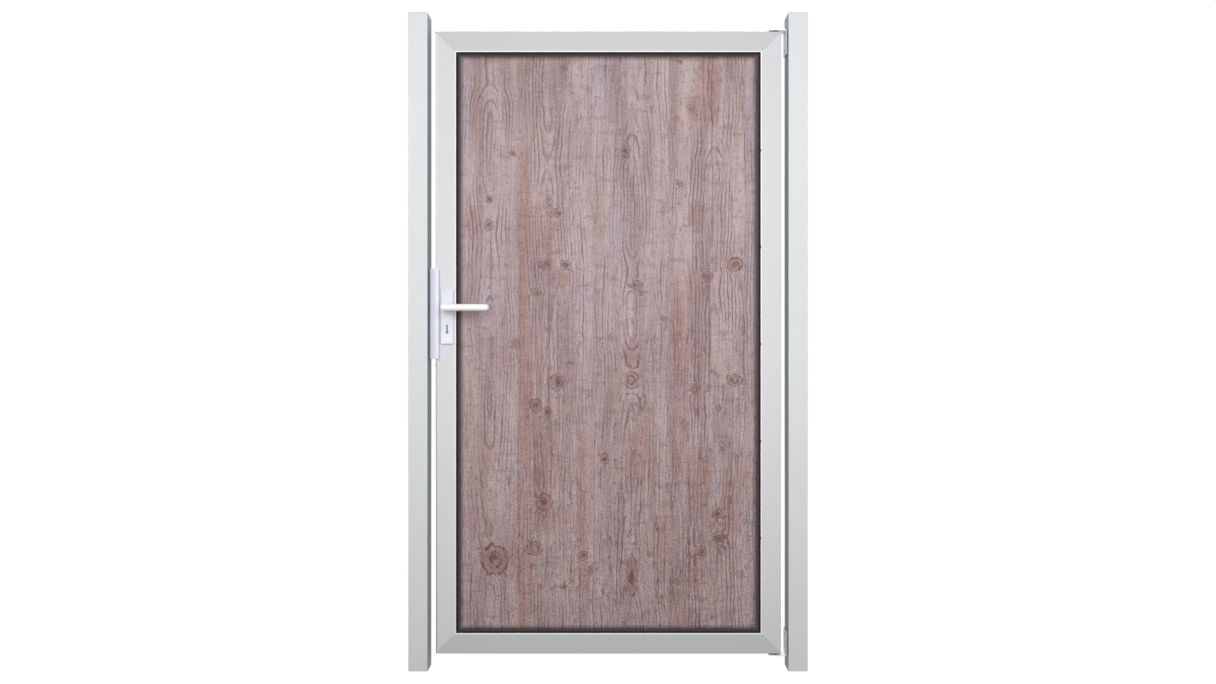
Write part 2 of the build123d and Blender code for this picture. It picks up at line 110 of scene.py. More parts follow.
class Finish:
    """A procedural finish: its material, its surface shader and the steps that feed it."""

    def __init__(self, name, roughness=0.5, metallic=0.0, specular=0.2):
        self.material = bpy.data.materials.new(name)
        self.material.use_nodes = True
        self.tree = self.material.node_tree
        self.surface = self.tree.nodes["Principled BSDF"]
        self.surface.inputs["Roughness"].default_value = roughness
        self.surface.inputs["Metallic"].default_value = metallic
        self.surface.inputs["Specular IOR Level"].default_value = specular
        self.place = self.tree.nodes.new("ShaderNodeTexCoord").outputs["Object"]

    def feed(self, socket, value):
        if isinstance(value, bpy.types.NodeSocket):
            self.tree.links.new(value, socket)
        else:
            socket.default_value = value

    def math(self, operation, *values):
        step = self.tree.nodes.new("ShaderNodeMath")
        step.operation = operation
        for socket, value in zip(step.inputs, values):
            self.feed(socket, value)
        return step.outputs[0]

    def ramp(self, value, low, high, start=0.0, end=1.0):
        """A soft step: start where value is at low, end where it is at high."""
        step = self.tree.nodes.new("ShaderNodeMapRange")
        step.interpolation_type = "SMOOTHSTEP"
        for socket, given in zip(step.inputs, (value, low, high, start, end)):
            self.feed(socket, given)
        return step.outputs[0]

    def axes(self):
        step = self.tree.nodes.new("ShaderNodeSeparateXYZ")
        self.feed(step.inputs[0], self.place)
        return step.outputs

    def point(self, x, y, z):
        step = self.tree.nodes.new("ShaderNodeCombineXYZ")
        for socket, value in zip(step.inputs, (x, y, z)):
            self.feed(socket, value)
        return step.outputs[0]

    def grain(self, scale, stretch=(1, 1, 1), place=None, detail=2.0, roughness=0.5):
        """Noise between 0 and 1, drawn out along an axis where stretch is small."""
        lie = self.tree.nodes.new("ShaderNodeMapping")
        self.feed(lie.inputs["Vector"], place or self.place)
        lie.inputs["Scale"].default_value = stretch
        step = self.tree.nodes.new("ShaderNodeTexNoise")
        self.feed(step.inputs["Vector"], lie.outputs[0])
        step.inputs["Scale"].default_value = scale
        step.inputs["Detail"].default_value = detail
        step.inputs["Roughness"].default_value = roughness
        return step.outputs[0]

    def tone(self, amount, under, over):
        """The colour under, with that amount of the colour over on it."""
        step = self.tree.nodes.new("ShaderNodeMix")
        step.data_type = "RGBA"
        self.feed(step.inputs["Factor"], amount)
        self.feed(step.inputs["A"], under)
        self.feed(step.inputs["B"], over)
        return step.outputs["Result"]

    def show(self, colour, roughness=None, height=None, depth=0.0001, strength=0.4):
        self.feed(self.surface.inputs["Base Color"], colour)
        if roughness is not None:
            self.feed(self.surface.inputs["Roughness"], roughness)
        if height is not None:
            step = self.tree.nodes.new("ShaderNodeBump")
            step.inputs["Strength"].default_value = strength
            step.inputs["Distance"].default_value = depth
            self.feed(step.inputs["Height"], height)
            self.feed(self.surface.inputs["Normal"], step.outputs[0])


def rgb(red, green, blue):
    """A colour as it is read off a swatch, from 0 to 255."""
    return [((v / 255 + 0.055) / 1.055) ** 2.4 for v in (red, green, blue)] + [1]


paper = Finish("pale_floor", roughness=0.9, specular=0.0)
paper.show(rgb(124, 113, 100))
floor_rays = paper.tree.nodes.new("ShaderNodeLightPath")
lit = paper.math("MAXIMUM", floor_rays.outputs["Is Camera Ray"], floor_rays.outputs["Is Glossy Ray"])
lit = paper.math("MAXIMUM", lit, floor_rays.outputs["Is Transmission Ray"])
paper.feed(paper.surface.inputs["Emission Color"], (1, 1, 1, 1))
paper.feed(paper.surface.inputs["Emission Strength"], paper.math("MULTIPLY", lit, 0.96))
floor_mesh.materials.append(paper.material)

# Posts and their caps
# Square aluminium tubes with a satin powder coat, each set in the ground and closed at the top
# with a moulded plastic cap that is pushed in.
hinge_post_face, latch_post_face = -0.028, -1.065
coat = Finish("post_satin_coat", specular=0.08)
speck = coat.grain(900, detail=3)
cloud = coat.grain(3, stretch=(1, 1, 0.4))
post_colour = coat.tone(coat.ramp(cloud, 0.3, 0.7), rgb(217, 222, 224), rgb(223, 226, 229))
post_colour = coat.tone(coat.ramp(speck, 0.35, 0.75, 0, 0.25), post_colour, rgb(196, 201, 205))
x, y, z = coat.axes()
# The inner faces of both posts, beside the leaf, are painted dark grey: painted shade of the gaps between
# posts and leaf.
for inner_face in (hinge_post_face, latch_post_face):
    off_face = coat.math("ABSOLUTE", coat.math("SUBTRACT", x, inner_face))
    shade = coat.ramp(off_face, 0.0002, 0.0006, 0.95, 0)
    post_colour = coat.tone(shade, post_colour, rgb(116, 120, 124))
coat.show(post_colour, coat.ramp(speck, 0.2, 0.8, 0.34, 0.46), speck, depth=0.00006, strength=0.4)


def dress(material, *names):
    for name in names:
        for place in nodes[name].material_slots:
            place.material = material


dress(coat.material, "hinge_post", "latch_post")

cap = Finish("cap_plastic", roughness=0.55)
pores = cap.grain(1400, detail=2)
cap_colour = cap.tone(cap.ramp(pores, 0.3, 0.7), rgb(206, 211, 214), rgb(214, 218, 221))
cap.show(cap_colour, height=pores, depth=0.00008, strength=0.5)
dress(cap.material, "hinge_post_cap", "latch_post_cap")

# Pivot hinges
# Bent plates of brushed stainless steel, screwed to the inner face of the hinge post. A pin through
# each arm turns in a plastic bush that is let into the end of the hinge stile.
leaf_middle_up = 0.945
steel = Finish("brushed_hinge_steel", metallic=0.4)
lines = steel.grain(160, stretch=(14, 14, 0.6), detail=3)
steel_colour = steel.tone(steel.ramp(lines, 0.3, 0.7), rgb(186, 189, 192), rgb(208, 211, 214))
x, y, z = steel.axes()
# The arms above and below the leaf are painted nearly white: a painted highlight on them.
off_middle = steel.math("ABSOLUTE", steel.math("SUBTRACT", z, leaf_middle_up))
arm = steel.math("MULTIPLY", steel.ramp(off_middle, 0.9040, 0.9048), steel.ramp(x, -0.0760, -0.0735))
steel_colour = steel.tone(steel.math("MULTIPLY", arm, 0.9), steel_colour, rgb(244, 245, 246))
steel.show(steel_colour, steel.ramp(lines, 0.3, 0.7, 0.36, 0.52), lines, depth=0.00005, strength=0.4)
dress(steel.material, "lower_hinge_bracket", "upper_hinge_bracket", "lower_hinge_pin", "upper_hinge_pin")


def new_piece(name, shape, material, body):
    mesh = bpy.data.meshes.new(name)
    shape.to_mesh(mesh)
    shape.free()
    mesh.materials.append(material)
    mesh.shade_smooth()
    mesh.set_sharp_from_angle(angle=radians(35))
    piece = bpy.data.objects.new(name, mesh)
    scene.collection.objects.link(piece)
    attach(piece, body)
    return piece


def screw_end(shape, place, facing, foot_radius, top_radius, height):
    """A screw head that looks out along facing from its foot at place, with a socket in its top."""
    stand = Matrix.Translation(place) @ Vector(facing).to_track_quat("Z", "Y").to_matrix().to_4x4()
    made = bmesh.ops.create_cone(
        shape, cap_ends=True, segments=32, radius1=foot_radius, radius2=top_radius, depth=height,
        matrix=stand @ Matrix.Translation((0, 0, height / 2)),
    )
    faces = {face for vert in made["verts"] for face in vert.link_faces}
    top = max(faces, key=lambda face: face.calc_center_median().dot(Vector(facing)))
    bmesh.ops.inset_individual(shape, faces=[top], thickness=top_radius * 0.5, depth=-height * 0.5)


shank_radius = 0.003
countersunk = bmesh.new()
for up in (0.0765, 0.1105, 1.7795, 1.8135):
    screw_end(
        countersunk, (-0.0292, 0.008, up), facing=(-1, 0, 0),
        foot_radius=shank_radius, top_radius=0.0058, height=0.0028,
    )
    bmesh.ops.create_cone(
        countersunk, cap_ends=True, segments=24, radius1=shank_radius, radius2=shank_radius, depth=0.0172,
        matrix=Matrix.Translation((-0.0206, 0.008, up)) @ Matrix.Rotation(radians(90), 4, "Y"),
    )
hinge_fixings = new_piece("hinge_socket_screws", countersunk, steel.material, "posts")
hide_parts("hinge_screws")

bush = Finish("bush_plastic", roughness=0.5)
moulded = bush.grain(700, detail=2)
bush_colour = bush.tone(bush.ramp(moulded, 0.3, 0.7), rgb(44, 45, 48), rgb(60, 61, 64))
bush.show(bush_colour, height=moulded, depth=0.00006, strength=0.4)
dress(bush.material, "lower_pivot_bush", "upper_pivot_bush")

# Keep
# A coated aluminium strike on the inner face of the latch post, with a stop nose in front of the
# leaf and an end cap at its top and bottom.
pearl = Finish("keep_coat", roughness=0.4)
dust = pearl.grain(1000, detail=2)
keep_colour = pearl.tone(pearl.ramp(dust, 0.3, 0.7), rgb(221, 223, 240), rgb(226, 228, 244))
x, y, z = pearl.axes()
# The keep is painted darker towards the post: painted shade beside the post.
keep_colour = pearl.tone(pearl.ramp(x, -1.0600, -1.0400, 0.66, 0.0), keep_colour, rgb(206, 208, 221))
pearl.show(keep_colour, pearl.ramp(dust, 0.2, 0.8, 0.34, 0.46), dust, depth=0.00005, strength=0.35)
dress(pearl.material, "keep_body", "keep_top_cap", "keep_bottom_cap")

bright = Finish("zinc_screw_steel", roughness=0.38, metallic=0.9)
turned = bright.grain(400, stretch=(1, 8, 8), detail=2)
bright_colour = bright.tone(bright.ramp(turned, 0.3, 0.7), rgb(168, 171, 174), rgb(198, 200, 203))
bright.show(bright_colour, bright.ramp(turned, 0.3, 0.7, 0.30, 0.44))
keep_screws = bmesh.new()
for up in (0.930, 1.010, 1.110):
    screw_end(
        keep_screws, (-1.0542, 0.0115, up), facing=(1, 0, 0),
        foot_radius=0.0042, top_radius=0.0038, height=0.0007,
    )
new_piece("keep_fixing_screws", keep_screws, bright.material, "posts")

# Leaf frame
# Four hollow aluminium profiles with a satin powder coat, mitred at the corners and pressed
# together over corner cleats, so that a hairline shows on each diagonal.
leaf_left, leaf_right, leaf_bottom, leaf_top = -1.0455, -0.0455, 0.045, 1.845
profile_width = 0.059
seal_rebate = -1.0392
profile = Finish("frame_satin_coat", specular=0.08)
flecks = profile.grain(900, detail=3)
haze = profile.grain(3, stretch=(1, 1, 0.4))
frame_colour = profile.tone(profile.ramp(haze, 0.3, 0.7), rgb(216, 217, 220), rgb(222, 221, 225))
frame_colour = profile.tone(profile.ramp(flecks, 0.35, 0.75, 0, 0.25), frame_colour, rgb(194, 196, 199))
x, y, z = profile.axes()
from_left = profile.math("SUBTRACT", x, leaf_left)
from_right = profile.math("SUBTRACT", leaf_right, x)
from_side = profile.math("MINIMUM", from_left, from_right)
from_foot = profile.math("SUBTRACT", z, leaf_bottom)
from_head = profile.math("SUBTRACT", leaf_top, z)
from_end = profile.math("MINIMUM", from_foot, from_head)
past_mitre = profile.math("SUBTRACT", from_side, from_end)
# The frame is painted darker towards its top: painted shade.
frame_colour = profile.tone(profile.ramp(z, 1.15, 1.75, 0.0, 0.42), frame_colour, rgb(206, 205, 211))
# The rails are painted a little darker than the stiles: painted shade standing in for their different sheen.
rail = profile.ramp(past_mitre, -0.0003, 0.0003)
frame_colour = profile.tone(profile.math("MULTIPLY", rail, 0.72), frame_colour, rgb(192, 196, 198))
off_mitre = profile.math("ABSOLUTE", past_mitre)
mitre_line = profile.ramp(off_mitre, 0.0004, 0.0011, 0.45, 0)
frame_colour = profile.tone(mitre_line, frame_colour, rgb(120, 123, 126))
from_edge = profile.math("MINIMUM", from_side, from_end)
# A near-white line along the inner edge of the frame and beside the seal rebate is a painted highlight.
painted_edge_highlight = profile.ramp(from_edge, profile_width - 0.0033, profile_width - 0.0023)
off_rebate = profile.math("ABSOLUTE", profile.math("SUBTRACT", x, seal_rebate))
painted_edge_highlight = profile.math("MAXIMUM", painted_edge_highlight, profile.ramp(off_rebate, 0.0006, 0.0012, 0.8, 0))
frame_colour = profile.tone(profile.math("MULTIPLY", painted_edge_highlight, 0.95), frame_colour, rgb(252, 253, 253))
profile.show(frame_colour, profile.ramp(flecks, 0.2, 0.8, 0.34, 0.46), flecks, depth=0.00006, strength=0.4)
dress(profile.material, "lock_stile", "hinge_stile", "top_rail", "bottom_rail")

# Infill panel
# One stiff board with a printed decor of weathered pine boards on both faces, matt, with the
# grain embossed. Each printed board has its own heart, and knots and stains lie across them.
first_joint, board_width = -1.0254, 0.2183

# Marks of the print, each with its place across and up and its half width and half height
knots = [
    (-0.891, 1.361, 0.010, 0.012), (-0.894, 1.288, 0.012, 0.014), (-0.824, 1.494, 0.010, 0.010),
    (-0.717, 1.353, 0.011, 0.015), (-0.705, 1.322, 0.015, 0.013), (-0.725, 1.172, 0.016, 0.015),
    (-0.667, 1.169, 0.014, 0.014), (-0.757, 1.090, 0.014, 0.010), (-0.497, 1.501, 0.015, 0.016),
    (-0.462, 1.109, 0.015, 0.012), (-0.452, 1.088, 0.009, 0.008), (-0.478, 0.838, 0.019, 0.025),
    (-0.691, 0.829, 0.023, 0.023), (-0.757, 0.766, 0.017, 0.019), (-0.723, 0.742, 0.012, 0.015),
    (-0.557, 0.606, 0.012, 0.016), (-0.294, 0.814, 0.015, 0.014), (-0.253, 0.814, 0.008, 0.012),
    (-0.178, 0.836, 0.023, 0.017), (-0.224, 0.756, 0.010, 0.008), (-0.178, 1.172, 0.022, 0.019),
    (-0.256, 1.138, 0.014, 0.015), (-0.732, 0.482, 0.025, 0.023), (-0.875, 0.316, 0.037, 0.043),
    (-0.759, 0.345, 0.023, 0.021), (-0.618, 0.326, 0.012, 0.015), (-0.599, 0.285, 0.008, 0.014),
    (-0.478, 0.268, 0.015, 0.058), (-0.231, 0.447, 0.017, 0.015), (-0.224, 0.374, 0.017, 0.019),
    (-0.273, 0.337, 0.014, 0.017), (-0.817, 0.942, 0.012, 0.015), (-0.384, 1.015, 0.010, 0.008),
    (-0.338, 1.759, 0.008, 0.006), (-0.672, 1.738, 0.008, 0.008), (-0.338, 1.407, 0.008, 0.010),
    (-0.425, 0.331, 0.006, 0.009), (-0.348, 0.248, 0.008, 0.008), (-0.672, 0.237, 0.010, 0.008),
]
stains = [
    (-0.938, 1.293, 0.019, 0.031), (-0.684, 1.132, 0.021, 0.025), (-0.478, 0.916, 0.021, 0.027),
    (-0.291, 1.114, 0.021, 0.039), (-0.285, 1.311, 0.019, 0.029), (-0.296, 1.622, 0.019, 0.025),
    (-0.725, 0.437, 0.039, 0.033), (-0.941, 0.421, 0.015, 0.041), (-0.609, 0.258, 0.025, 0.029),
    (-0.195, 0.432, 0.025, 0.035), (-0.285, 0.277, 0.023, 0.033), (-0.305, 0.137, 0.017, 0.025),
    (-0.386, 0.355, 0.012, 0.135), (-0.628, 0.529, 0.014, 0.145), (-0.456, 0.616, 0.023, 0.068),
    (-0.253, 1.690, 0.025, 0.106), (-0.171, 0.539, 0.021, 0.068), (-0.788, 0.790, 0.021, 0.203),
    (-0.791, 1.187, 0.019, 0.232), (-0.340, 0.838, 0.023, 0.222), (-0.289, 0.558, 0.029, 0.068),
    (-0.763, 0.519, 0.033, 0.087), (-0.836, 0.896, 0.014, 0.058), (-0.823, 0.316, 0.029, 0.043),
    (-0.725, 1.264, 0.015, 0.048), (-0.791, 0.316, 0.019, 0.193),
]
silvered = [
    (-0.887, 1.699, 0.017, 0.041), (-0.475, 1.699, 0.015, 0.058), (-0.885, 0.181, 0.014, 0.048),
    (-0.568, 1.632, 0.025, 0.164), (-0.894, 1.056, 0.023, 0.068), (-0.514, 1.303, 0.021, 0.106),
    (-0.485, 0.384, 0.012, 0.116), (-0.233, 0.548, 0.010, 0.058), (-0.607, 1.071, 0.015, 0.106),
    (-0.959, 1.516, 0.014, 0.319), (-0.135, 1.400, 0.017, 0.406), (-0.961, 0.297, 0.012, 0.193),
    (-0.137, 0.374, 0.017, 0.290), (-0.582, 0.210, 0.012, 0.116), (-0.609, 0.761, 0.014, 0.145),
    (-0.846, 0.597, 0.025, 0.164),
]
cracks = [
    (-0.246, 1.612, 0.0022, 0.190), (-0.243, 1.370, 0.0020, 0.120), (-0.313, 0.355, 0.0024, 0.260),
    (-0.718, 0.920, 0.0030, 0.250), (-0.807, 0.470, 0.0016, 0.300), (-0.712, 0.600, 0.0024, 0.110),
    (-0.252, 0.980, 0.0018, 0.230), (-0.886, 1.180, 0.0018, 0.120), (-0.545, 0.960, 0.0020, 0.100),
    (-0.470, 1.420, 0.0020, 0.150), (-0.480, 0.520, 0.0020, 0.120), (-0.150, 0.900, 0.0016, 0.200),
]

pine = Finish("weathered_pine_decor", roughness=0.6)


def spots(places, spread, place):
    """How near the closest of these spots is: 1 at its middle, 0 at spread times its half size."""
    nearest = 0.0
    for across, up, half_width, half_height in places:
        lie = pine.tree.nodes.new("ShaderNodeMapping")
        lie.vector_type = "TEXTURE"
        pine.feed(lie.inputs["Vector"], place)
        lie.inputs["Location"].default_value = (across, 0, up)
        lie.inputs["Scale"].default_value = (half_width * spread, 1, half_height * spread)
        fall = pine.tree.nodes.new("ShaderNodeTexGradient")
        fall.gradient_type = "SPHERICAL"
        pine.feed(fall.inputs[0], lie.outputs[0])
        nearest = pine.math("MAXIMUM", nearest, fall.outputs["Fac"])
    return nearest


# Each board takes its noise from its own layer, so that the grain breaks at the joints
x, y, z = pine.axes()
across = pine.math("DIVIDE", pine.math("SUBTRACT", x, first_joint), board_width)
board = pine.math("FLOOR", across)
inside = pine.math("MULTIPLY", pine.math("SUBTRACT", pine.math("FRACT", across), 0.5), board_width)
layer = pine.math("MULTIPLY", board, 3.7)
flat = pine.point(x, layer, z)

# Ripples bend the rings, and bend the outlines of knots and stains with them
ripple = pine.grain(22, stretch=(1, 1, 0.30), place=flat, detail=4, roughness=0.6)
ripple = pine.math("SUBTRACT", ripple, 0.5)
shake = pine.grain(40, stretch=(1, 1, 0.8), place=flat, detail=3, roughness=0.6)
shake = pine.math("SUBTRACT", shake, 0.5)
bent = pine.point(
    pine.math("MULTIPLY_ADD", shake, 0.012, pine.math("MULTIPLY_ADD", ripple, 0.010, x)),
    0.0,
    pine.math("MULTIPLY_ADD", pine.math("SUBTRACT", ripple, shake), 0.022, z),
)
crumple = pine.math("SUBTRACT", pine.grain(75, stretch=(1, 1, 0.8), place=flat, detail=2), 0.5)
frayed = pine.point(
    pine.math("MULTIPLY_ADD", shake, 0.018, pine.math("MULTIPLY_ADD", crumple, 0.014, x)),
    0.0,
    pine.math("MULTIPLY_ADD", pine.math("SUBTRACT", ripple, crumple), 0.020, z),
)
knot = spots(knots, 1.9, frayed)
stain = spots(stains, 1.8, bent)
silver = spots(silvered, 1.8, bent)
crack = spots(cracks, 1.6, pine.point(pine.math("MULTIPLY_ADD", ripple, 0.016, x), 0.0, z))

# Yearly rings round a heart that lies deeper or shallower along each board, by these points of
# height and depth, so that the rings run out in long arches
ring_width, deepest, print_height = 0.0098, 0.055, 1.9
hearts = [
    (0.025, [
        (0.0, 0.50), (0.10, 0.20), (0.19, 0.62), (0.42, 0.18), (0.66, 0.46), (0.82, 0.14), (0.92, 0.70),
        (1.0, 0.40),
    ]),
    (-0.020, [
        (0.0, 0.40), (0.14, 0.10), (0.26, 0.42), (0.40, 0.06), (0.54, 0.34), (0.66, 0.05), (0.74, 0.50),
        (0.88, 0.12), (1.0, 0.40),
    ]),
    (0.002, [
        (0.0, 0.20), (0.12, 0.06), (0.21, 0.40), (0.32, 0.16), (0.42, 0.60), (0.47, 0.58), (0.55, 0.14),
        (0.61, 0.44), (0.66, 0.06), (0.88, 0.80), (1.0, 0.85),
    ]),
    (0.018, [
        (0.0, 0.16), (0.20, 0.44), (0.40, 0.10), (0.55, 0.36), (0.70, 0.08), (0.86, 0.46), (1.0, 0.10),
    ]),
]
height = pine.math("DIVIDE", z, print_height)
offset = 0.0
pith = 0.0
for number, (aside, depths) in enumerate(hearts):
    mine = pine.math("COMPARE", board, float(number), 0.5)
    curve = pine.tree.nodes.new("ShaderNodeFloatCurve")
    points = curve.mapping.curves[0].points
    points[0].location = depths[0]
    points[1].location = depths[-1]
    for along, deep in depths[1:-1]:
        points.new(along, deep)
    curve.mapping.update()
    pine.feed(curve.inputs["Value"], height)
    offset = pine.math("MULTIPLY_ADD", mine, -aside, offset)
    pith = pine.math("MULTIPLY_ADD", mine, curve.outputs[0], pith)
drift = pine.math("SUBTRACT", pine.grain(1.6, place=pine.point(0.0, layer, z), detail=2), 0.5)
heart = pine.math("ADD", inside, pine.math("MULTIPLY_ADD", drift, 0.045, offset))
heart = pine.math("MULTIPLY_ADD", ripple, 0.020, pine.math("MULTIPLY_ADD", shake, 0.007, heart))
lift = pine.grain(7, place=pine.point(0.0, pine.math("ADD", layer, 5.1), z), detail=3)
pith = pine.math("MULTIPLY_ADD", pine.math("SUBTRACT", lift, 0.5), 0.7, pith)
pith = pine.math("MULTIPLY", pith, deepest)
radius = pine.math("MULTIPLY_ADD", pith, pith, pine.math("MULTIPLY", heart, heart))
radius = pine.math("SQRT", radius)
swell = pine.math("MULTIPLY", pine.math("POWER", knot, 1.4), 0.034)
rings = pine.math("DIVIDE", pine.math("ADD", radius, swell), ring_width)
ring = pine.math("FLOOR", rings)
step = pine.math("FRACT", rings)
late = pine.math("MULTIPLY", pine.ramp(step, 0.50, 0.84), pine.ramp(step, 0.90, 1.0, 1, 0))
dice = pine.tree.nodes.new("ShaderNodeTexWhiteNoise")
dice.noise_dimensions = "2D"
pine.feed(dice.inputs["Vector"], pine.point(ring, board, 0.0))
fade = pine.grain(15, stretch=(1.6, 1, 0.35), place=flat, detail=3)
boldness = pine.ramp(dice.outputs["Value"], 0.0, 1.0, 0.3, 1.0)
boldness = pine.math("MULTIPLY", boldness, pine.ramp(fade, 0.36, 0.60, 0.0, 1.1))
near_heart = pine.ramp(pine.math("ABSOLUTE", heart), 0.0, 0.016, 0.55, 1.0)
ring_dark = pine.math("MULTIPLY", pine.math("MULTIPLY", late, boldness), near_heart)

# Fibres, flecks, streaks, pits and wear, from fine to broad
wavy = pine.point(pine.math("MULTIPLY_ADD", ripple, 0.008, x), layer, z)
fibre = pine.grain(95, stretch=(4.0, 1, 0.30), place=wavy, detail=4, roughness=0.7)
fine = pine.grain(210, stretch=(1.2, 1, 0.8), place=flat, detail=2, roughness=0.6)
streak = pine.grain(34, stretch=(3.0, 1, 0.14), place=flat, detail=4, roughness=0.65)
broad = pine.grain(7, stretch=(2.4, 1, 0.28), place=flat, detail=4, roughness=0.55)
warm_place = pine.point(x, pine.math("ADD", layer, 1.9), z)
warm = pine.grain(5, stretch=(3.4, 1, 0.45), place=warm_place, detail=4)
vein_place = pine.point(x, pine.math("ADD", layer, 4.3), z)
veins = pine.grain(52, stretch=(2.2, 1, 0.16), place=vein_place, detail=4, roughness=0.6)
pits = pine.grain(46, stretch=(1.6, 1, 0.7), place=flat, detail=3, roughness=0.62)
worn = pine.grain(38, stretch=(0.45, 1, 1.5), place=flat, detail=4, roughness=0.62)
low = pine.ramp(z, 0.10, 1.35, 1.0, 0.0)


def inside_opening(finish):
    """How far a place lies in from the nearest edge of the frame's opening."""
    across, _, up = finish.axes()
    middle_across = (leaf_left + leaf_right) / 2
    half_width = (leaf_right - leaf_left) / 2 - profile_width
    half_height = (leaf_top - leaf_bottom) / 2 - profile_width
    off_middle = finish.math("ABSOLUTE", finish.math("SUBTRACT", across, middle_across))
    inward = finish.math("SUBTRACT", half_width, off_middle)
    off_middle = finish.math("ABSOLUTE", finish.math("SUBTRACT", up, leaf_middle_up))
    return finish.math("MINIMUM", inward, finish.math("SUBTRACT", half_height, off_middle))


rim = inside_opening(pine)

# Colours of the print, the broad changes first
colour = pine.tone(pine.ramp(broad, 0.36, 0.64), rgb(154, 132, 133), rgb(186, 167, 168))
side = pine.math("FRACT", across)
colour = pine.tone(pine.ramp(side, 0.0, 0.24, 0.40, 0.0), colour, rgb(150, 127, 124))
colour = pine.tone(pine.ramp(side, 0.80, 0.99, 0.0, 0.32), colour, rgb(196, 178, 179))
colour = pine.tone(pine.ramp(warm, 0.50, 0.70, 0, 0.45), colour, rgb(162, 134, 127))
colour = pine.tone(pine.ramp(warm, 0.46, 0.30, 0, 0.45), colour, rgb(166, 151, 160))
colour = pine.tone(pine.math("MULTIPLY", pine.ramp(silver, 0.0, 0.6), 0.55), colour, rgb(180, 169, 179))
patchy = pine.ramp(warm, 0.36, 0.60, 0.32, 0.78)
colour = pine.tone(pine.math("MULTIPLY", pine.ramp(stain, 0.0, 0.6), patchy), colour, rgb(152, 110, 101))
# Lighter and redder towards the bottom: partly the decor's own warmer foot, partly painted light that evens
# out the lamps' fall towards the floor.
colour = pine.tone(pine.math("MULTIPLY", low, 0.30), colour, rgb(194, 166, 163))
lively = pine.math("MULTIPLY_ADD", low, 0.26, 0.36)
colour = pine.tone(pine.ramp(veins, 0.50, 0.68, 0.0, lively), colour, rgb(168, 137, 129))
colour = pine.tone(pine.ramp(veins, 0.48, 0.32, 0.0, lively), colour, rgb(162, 150, 161))
colour = pine.tone(pine.ramp(streak, 0.50, 0.74, 0.0, lively), colour, rgb(122, 100, 103))
colour = pine.tone(pine.ramp(streak, 0.46, 0.28, 0.0, lively), colour, rgb(206, 189, 191))
thread = pine.math("MULTIPLY_ADD", low, 0.22, 0.33)
colour = pine.tone(pine.ramp(fibre, 0.47, 0.68, 0.0, thread), colour, rgb(106, 85, 88))
colour = pine.tone(pine.ramp(fibre, 0.46, 0.30, 0.0, thread), colour, rgb(204, 188, 190))
fleck = pine.math("MULTIPLY_ADD", low, 0.26, 0.36)
colour = pine.tone(pine.ramp(fine, 0.50, 0.68, 0.0, fleck), colour, rgb(100, 80, 83))
colour = pine.tone(pine.ramp(fine, 0.46, 0.32, 0.0, 0.30), colour, rgb(204, 188, 190))
colour = pine.tone(pine.math("MULTIPLY", ring_dark, 0.74), colour, rgb(98, 76, 79))
colour = pine.tone(pine.ramp(pits, 0.57, 0.70, 0.0, fleck), colour, rgb(94, 71, 73))
colour = pine.tone(pine.ramp(worn, 0.53, 0.70, 0.0, 0.34), colour, rgb(116, 92, 93))
colour = pine.tone(pine.ramp(worn, 0.45, 0.32, 0.0, 0.12), colour, rgb(190, 172, 174))
colour = pine.tone(pine.math("MULTIPLY", pine.ramp(crack, 0.05, 0.7), 0.50), colour, rgb(92, 72, 75))

# Knots: a tinted eye inside one or two broken dark rims, with a small heart that is split in some
uneven = pine.ramp(pits, 0.42, 0.60, 1.0, 0.15)
healed = pine.ramp(pine.grain(11, place=flat, detail=0), 0.44, 0.58, 0.0, 1.0)
eye = pine.math("MULTIPLY", pine.ramp(knot, 0.32, 0.62), 0.34)
colour = pine.tone(eye, colour, rgb(142, 102, 94))
turns = pine.math("MULTIPLY_ADD", knot, 23.0, pine.math("MULTIPLY_ADD", shake, 7.0, -9.2))
turns = pine.math("SINE", turns)
turns = pine.math("MULTIPLY", pine.ramp(turns, 0.30, 0.90), pine.ramp(knot, 0.36, 0.42))
colour = pine.tone(pine.math("MULTIPLY", turns, pine.math("MULTIPLY", uneven, 0.76)), colour, rgb(82, 59, 59))
arcs = pine.math("SINE", pine.math("MULTIPLY_ADD", knot, 50.0, pine.math("MULTIPLY", shake, 12.0)))
arcs = pine.math("MULTIPLY", pine.ramp(arcs, 0.2, 0.9), pine.ramp(knot, 0.40, 0.52, 0.0, 0.26))
colour = pine.tone(arcs, colour, rgb(92, 66, 64))
split = pine.math("MULTIPLY", pine.ramp(knot, 0.74, 0.88), pine.math("MULTIPLY", healed, 0.66))
colour = pine.tone(split, colour, rgb(70, 50, 51))
# The panel is painted darker within about 26 mm of the frame's opening: painted shade of the recess under the
# gasket.
colour = pine.tone(pine.ramp(rim, 0.0060, 0.0265, 0.95, 0.0), colour, rgb(38, 32, 34))
pine.show(colour, pine.ramp(fibre, 0.3, 0.7, 0.50, 0.66), fibre, depth=0.0003, strength=0.35)
dress(pine.material, "infill_panel")

# Glazing gaskets
# Black rubber rings pressed between the panel and the legs of the profiles on both faces, with
# small wedges that hold the front one in place along the hinge stile.
rubber = Finish("gasket_rubber", roughness=0.62)
skin = rubber.grain(600, detail=3)
rubber_colour = rubber.tone(rubber.ramp(skin, 0.3, 0.7), rgb(56, 51, 53), rgb(76, 70, 72))
x, y, z = rubber.axes()
# Where the gasket meets the profile's leg it is painted near black: painted shade.
painted_shoulder_shade = rubber.ramp(inside_opening(rubber), 0.0045, 0.0080, 1.0, 0.0)
